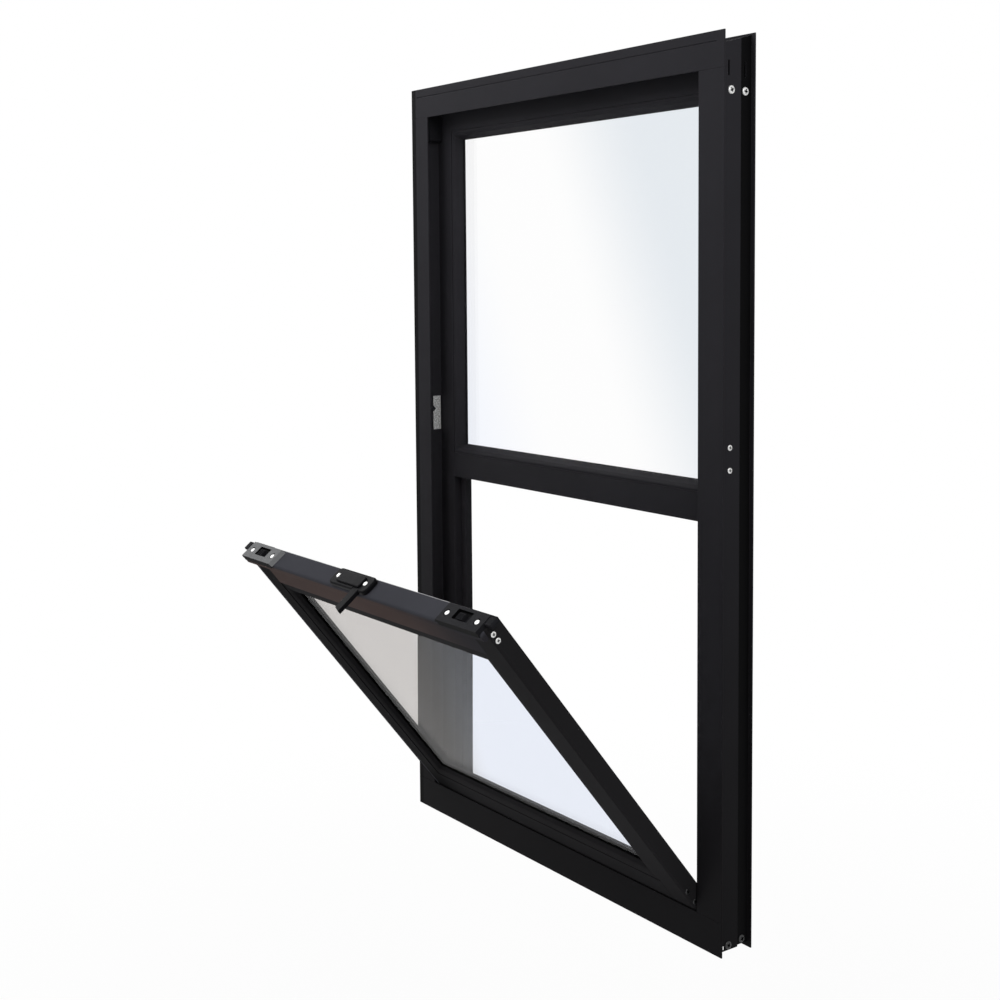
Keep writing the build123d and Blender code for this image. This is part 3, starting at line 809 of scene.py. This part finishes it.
class WINDOW_OT_frame(bpy.types.Operator):
    """Round the frame's profiles and coat them."""
    bl_idname = "window.frame"
    bl_label = "Frame profiles"

    def execute(self, context):
        sizes = settings("profile")
        for node in MEMBERS:
            mesh = merged_copy(node)
            round_edges(mesh, sizes.edge, sizes.steps)
            if node.endswith("jamb"):
                # Painted shade: the floor of each jamb's side channel takes the dark matt finish.
                for face in filter(self.in_channel, mesh.faces):
                    face.material_index = 1
            new_piece(mesh, node + "_profile", ["coat", "channel"], [node])
        return {"FINISHED"}

    def in_channel(self, face):
        """Whether a jamb's face is the floor of the channel along its outer side."""
        sizes = settings("profile")
        centre = face.calc_center_median()
        depth = cad_box[1].x - abs(centre.x)
        return (sizes.channel[0] < depth < sizes.channel[1] and centre.y > sizes.channel_end
                and abs(face.normal.x) > SQUARE)


class WINDOW_OT_beads(bpy.types.Operator):
    """Round the snap-in beads and coat them."""
    bl_idname = "window.beads"
    bl_label = "Glazing beads"

    def execute(self, context):
        sizes = settings("profile")
        for light, coat in (("upper", "coat"), ("sash", "sash_coat")):
            for side in SIDES:
                node = f"{light}_bead_{side}"
                mesh = merged_copy(node)
                round_edges(mesh, sizes.bead_edge, sizes.bead_steps,
                            wanted=lambda edge: edge.calc_length() > sizes.bead_least)
                new_piece(mesh, node + "_profile", [coat], [node])
        return {"FINISHED"}


class WINDOW_OT_sash(bpy.types.Operator):
    """Round the sash's rails and stiles and coat them."""
    bl_idname = "window.sash"
    bl_label = "Sash profiles"

    def execute(self, context):
        sizes = settings("profile")
        back = sash_place().inverted()
        high = own_box("sash_top_rail", back)[1]

        def far_top(edge):
            return all((back @ vertex.co).y > high.y - NEAR and (back @ vertex.co).z > high.z - NEAR
                       for vertex in edge.verts)

        for node in SASH_MEMBERS:
            mesh = merged_copy(node)
            top = node == "sash_top_rail"
            if top:
                round_edges(mesh, sizes.far_edge, sizes.far_steps, wanted=far_top)
            round_edges(mesh, sizes.edge, sizes.steps)
            new_piece(mesh, node + "_profile", ["rail_coat" if top else "sash_coat"], [node])
        return {"FINISHED"}


class WINDOW_OT_glass(bpy.types.Operator):
    """Make the sash's sealed unit, glaze both lights and run the rubber seals round them."""
    bl_idname = "window.glass"
    bl_label = "Glass and seals"

    def execute(self, context):
        sizes = settings("profile")
        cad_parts["upper_glass"].data.materials.clear()
        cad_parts["upper_glass"].data.materials.append(finish("upper_glass"))

        put = sash_place()
        low, high = own_box("sash_glass", put.inverted())
        panes = bmesh.new()
        box(panes, low, (high.x, low.y + sizes.pane, high.z))
        box(panes, (low.x, high.y - sizes.pane, low.z), high)
        round_edges(panes, sizes.edge, 1)
        new_piece(panes, "sash_panes", ["sash_glass"], ["sash_glass"], where=put)
        spacer = bmesh.new()
        ring(spacer, (low.x, low.y + sizes.pane, low.z), (high.x, high.y - sizes.pane, high.z),
             sizes.spacer)
        new_piece(spacer, "sash_spacer_bar", ["seal"], where=put)

        self.seal("upper", Matrix.Identity(4), "upper_glass")
        self.seal("sash", put, "sash_glass")
        return {"FINISHED"}

    def seal(self, light, put, node):
        """A rubber ring that shows between the beads and the glass."""
        sizes = settings("profile")
        back = put.inverted()
        left_bead = own_box(f"{light}_bead_left", back)[1]
        right_bead = own_box(f"{light}_bead_right", back)[0]
        top_bead = own_box(f"{light}_bead_top", back)[0]
        bottom_bead = own_box(f"{light}_bead_bottom", back)[1]
        front = own_box(node, back)[0].y
        mesh = bmesh.new()
        ring(mesh, (left_bead.x, front - sizes.seal_height, bottom_bead.z),
             (right_bead.x, front, top_bead.z), sizes.seal_width)
        round_edges(mesh, sizes.edge, 1)
        new_piece(mesh, f"{light}_glass_seal", ["seal"], where=put)


class WINDOW_OT_tracks(bpy.types.Operator):
    """Finish the shoes, stops, clips and pivot bars in the jamb tracks."""
    bl_idname = "window.tracks"
    bl_label = "Track hardware"

    def execute(self, context):
        edge = settings("hardware").edge
        rows = (("sash_stop", "plastic", "track_plastic"), ("balance_shoe", "plastic", "track_plastic"),
                ("balance_clip", "steel", "clip_steel"), ("pivot_bar", "steel", "clip_steel"))
        for kind, finish_name, slot in rows:
            for side in ("left", "right"):
                node = f"{side}_{kind}"
                mesh = merged_copy(node)
                round_edges(mesh, edge / 2, 2)
                new_piece(mesh, node + "_finished", [finish_name], [node])
        return {"FINISHED"}


class WINDOW_OT_latches(bpy.types.Operator):
    """Make the two tilt latches with their windows, thumb sliders and bolts."""
    bl_idname = "window.latches"
    bl_label = "Tilt latches"

    def execute(self, context):
        put = sash_place()
        back = put.inverted()
        flip = Matrix.Diagonal((-1, 1, 1, 1))
        for side, turn in (("right", Matrix.Identity(4)), ("left", flip)):
            new_piece(self.housing(back), side + "_latch_body", ["latch", "plastic", "channel"],
                      [side + "_latch_housing"], where=put @ turn)
            new_piece(self.slider(back), side + "_latch_thumb", ["plastic"],
                      [side + "_latch_slider"], where=put @ turn)
            mesh = merged_copy(side + "_latch_bolt")
            round_edges(mesh, settings("hardware").edge, 2)
            new_piece(mesh, side + "_latch_tongue", ["plastic"], [side + "_latch_bolt"])
        return {"FINISHED"}

    def housing(self, back):
        """Right housing: a plate with a sloped inner end, a window for the slider, and screw seats."""
        sizes = settings("hardware")
        low, high = own_box("right_latch_housing", back)
        mesh = merged_copy("right_latch_housing")
        bmesh.ops.transform(mesh, matrix=back, verts=mesh.verts)

        def inner_top(edge):
            return all(vertex.co.x < low.x + NEAR and vertex.co.z > high.z - NEAR for vertex in edge.verts)

        round_edges(mesh, sizes.slope, 1, wanted=inner_top)
        slider_low, slider_high = own_box("right_latch_slider", back)
        start = (slider_low.x - sizes.window_reach, slider_low.y - sizes.window_side,
                 high.z - sizes.window_depth)
        stop = (slider_high.x + sizes.window_reach, slider_high.y + sizes.window_back,
                high.z + sizes.clear)
        tool = bmesh.new()
        box(tool, start, stop)
        for screw_low, screw_high in islands("hardware_screws", back):
            middle = (screw_low + screw_high) / 2
            radius = (screw_high.x - screw_low.x) / 2 * sizes.head
            if low.x < middle.x < high.x:
                countersink(tool, (middle.x, middle.y, high.z), radius)
        plate = cut(mesh, tool)
        round_edges(plate, sizes.edge / 2, 2)
        # The window and the room side take the matt finish as painted shade, and the other steep faces
        # plain plastic.
        for face in plate.faces:
            centre = face.calc_center_median()
            inside = start[0] < centre.x < stop[0] and start[1] < centre.y < stop[1]
            if face.normal.y < -FACING or (inside and centre.z < high.z - sizes.edge):
                face.material_index = 2
            elif face.normal.z < TOPSIDE:
                face.material_index = 1
        return plate

    def slider(self, back):
        """Thumb slider: a low foot in the window with a ribbed grip on it."""
        sizes = settings("hardware")
        low, high = own_box("right_latch_slider", back)
        floor = low.z - sizes.window_depth
        mesh = bmesh.new()
        box(mesh, (low.x, low.y, floor), (high.x, high.y, floor + sizes.foot))
        start = low.x + sizes.grip_inset
        stop = high.x - sizes.grip_inset
        verts = box(mesh, (start, low.y, floor + sizes.foot / 2), (stop, high.y, high.z - sizes.rib / 2))
        for vertex in verts:
            if vertex.co.z > low.z:
                vertex.co.x += sizes.rib if vertex.co.x < (start + stop) / 2 else -sizes.rib
        # The middles of the outer ribs lie two rib widths inside the grip's ends.
        pitch = (stop - start - 4 * sizes.rib) / (sizes.ribs - 1)
        for number in range(sizes.ribs):
            at = start + 2 * sizes.rib + number * pitch
            box(mesh, (at - sizes.rib / 2, low.y + sizes.rib, high.z - sizes.rib),
                (at + sizes.rib / 2, high.y - sizes.rib, high.z))
        round_edges(mesh, sizes.edge / 3, 2)
        return mesh


class WINDOW_OT_lock(bpy.types.Operator):
    """Round the sash lock's castings and paint them."""
    bl_idname = "window.lock"
    bl_label = "Sash lock"

    def execute(self, context):
        for node in ("lock_base", "lock_cover", "lock_lever"):
            mesh = merged_copy(node)
            round_edges(mesh, settings("hardware").edge, 2)
            new_piece(mesh, node + "_casting", ["lock"], [node])
        return {"FINISHED"}


class WINDOW_OT_screws(bpy.types.Operator):
    """Put cross-recess screws where the plain heads are."""
    bl_idname = "window.screws"
    bl_label = "Screws"

    def execute(self, context):
        sizes = settings("hardware")
        back = sash_place().inverted()
        screws("frame_screws", "frame_screw_heads", Matrix.Identity(4), "X")
        screws("sash_corner_screws", "sash_corner_screw_heads", back, "X")
        screws("hardware_screws", "hardware_screw_heads", back, "Z", sizes.sink * sizes.sunk)
        return {"FINISHED"}


class WINDOW_OT_stage(bpy.types.Operator):
    """Set up the floor, the white surroundings, the soft lamps and the camera."""
    bl_idname = "window.stage"
    bl_label = "Stage"

    def execute(self, context):
        self.floor()
        self.surroundings(context)
        for name, spot, size, power in LAMPS:
            self.lamp(context, name, Vector(spot), size, power)
        self.camera(context)
        context.scene.view_settings.view_transform = "Standard"
        return {"FINISHED"}

    def seen(self, made):
        """1 for rays from the camera, a mirror or through glass, and 0 for light on surfaces."""
        outputs = made.add("ShaderNodeLightPath").socket.node.outputs
        names = ("Is Camera Ray", "Is Glossy Ray", "Is Transmission Ray")
        camera, mirror, through = (Wire(made, outputs[name]) for name in names)
        return camera.larger(mirror).larger(through)

    def floor(self):
        """A wide floor, shaded a little under the window and plain white farther out."""
        sizes = settings("stage")
        mesh = bmesh.new()
        level = cad_box[0].z - sizes.floor_drop
        bmesh.ops.create_grid(mesh, x_segments=1, y_segments=1, size=sizes.floor_size / 2,
                              matrix=Matrix.Translation((0, 0, level)))
        data = bpy.data.meshes.new("studio_floor")
        mesh.to_mesh(data)
        mesh.free()
        made = surface("studio_floor", roughness=0.9, specular_ior_level=0.0)
        tones = made.blend(made.noise(sizes.floor_cloud), sizes.floor_dark, sizes.floor_light)
        made.set("Base Color", tones)
        distance = made.add("ShaderNodeVectorMath", {0: made.points()}, output="Value", operation="LENGTH")
        shown = (1.0 - distance.ramp(sizes.fade / 3, sizes.fade)) * sizes.shadow
        glow = made.add("ShaderNodeEmission", {"Color": WHITE, "Strength": 1.0})
        lit = Wire(made, made.shader.outputs[0])
        mixed = made.add("ShaderNodeMixShader", {0: self.seen(made) * (1.0 - shown), 1: lit, 2: glow})
        output = next(node for node in made.tree.nodes if node.type == "OUTPUT_MATERIAL")
        made.feed(output.inputs["Surface"], mixed)
        data.materials.append(made.owner)
        floor = bpy.data.objects.new("studio_floor", data)
        bpy.context.scene.collection.objects.link(floor)

    def surroundings(self, context):
        """White for the camera, and a weaker even light on the window."""
        world = bpy.data.worlds.new("studio")
        context.scene.world = world
        made = Finish(world, "Background", color=WHITE)
        ambient = settings("stage").ambient
        made.set("Strength", ambient + self.seen(made) * (1.0 - ambient))

    def lamp(self, context, name, spot, size, power):
        """A square soft lamp that faces the window."""
        data = bpy.data.lights.new(name, "AREA")
        data.shape = "SQUARE"
        data.size = size
        data.energy = power
        lamp = bpy.data.objects.new(name, data)
        lamp.location = spot
        towards = Vector(settings("stage").aim) - spot
        lamp.rotation_euler = towards.to_track_quat("-Z", "Y").to_euler()
        context.scene.collection.objects.link(lamp)

    def camera(self, context):
        """The camera, where the photograph was taken from."""
        sizes = settings("stage")
        data = bpy.data.cameras.new("camera")
        data.sensor_width = sizes.sensor
        data.lens = sizes.lens
        data.shift_y = sizes.shift
        camera = bpy.data.objects.new("camera", data)
        turn = Matrix.Rotation(sizes.turn, 4, "Z")
        look = Matrix.Rotation(math.pi / 2 + sizes.pitch, 4, "X")
        roll = Matrix.Rotation(sizes.roll, 4, "Z")
        camera.matrix_world = Matrix.Translation(sizes.eye) @ turn @ look @ roll
        context.scene.collection.objects.link(camera)
        context.scene.camera = camera


OPERATORS = (WINDOW_OT_stage, WINDOW_OT_frame, WINDOW_OT_beads, WINDOW_OT_sash, WINDOW_OT_glass,
             WINDOW_OT_tracks, WINDOW_OT_latches, WINDOW_OT_lock, WINDOW_OT_screws)


class WINDOW_PT_panel(bpy.types.Panel):
    """Lists the window's steps and settings in the sidebar."""
    bl_label = "Single-hung window"
    bl_idname = "WINDOW_PT_panel"
    bl_space_type = "VIEW_3D"
    bl_region_type = "UI"
    bl_category = "Window"

    def draw(self, context):
        for operator in OPERATORS:
            self.layout.operator(operator.bl_idname)
        for group, kind in GROUPS.items():
            column = self.layout.column()
            for name in kind.__annotations__:
                column.prop(settings(group), name)


def register():
    """Add the settings, the steps and the panel."""
    for group, kind in GROUPS.items():
        bpy.utils.register_class(kind)
        setattr(bpy.types.Scene, "window_" + group, PointerProperty(type=kind))
    for kind in (*OPERATORS, WINDOW_PT_panel):
        bpy.utils.register_class(kind)


def unregister():
    """Take them out again."""
    for kind in reversed((*OPERATORS, WINDOW_PT_panel)):
        bpy.utils.unregister_class(kind)
    for group, kind in GROUPS.items():
        delattr(bpy.types.Scene, "window_" + group)
        bpy.utils.unregister_class(kind)


def main():
    """Run every step."""
    register()
    for operator in OPERATORS:
        area, name = operator.bl_idname.split(".")
        getattr(getattr(bpy.ops, area), name)()
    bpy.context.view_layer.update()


if __name__ == "__main__":
    main()
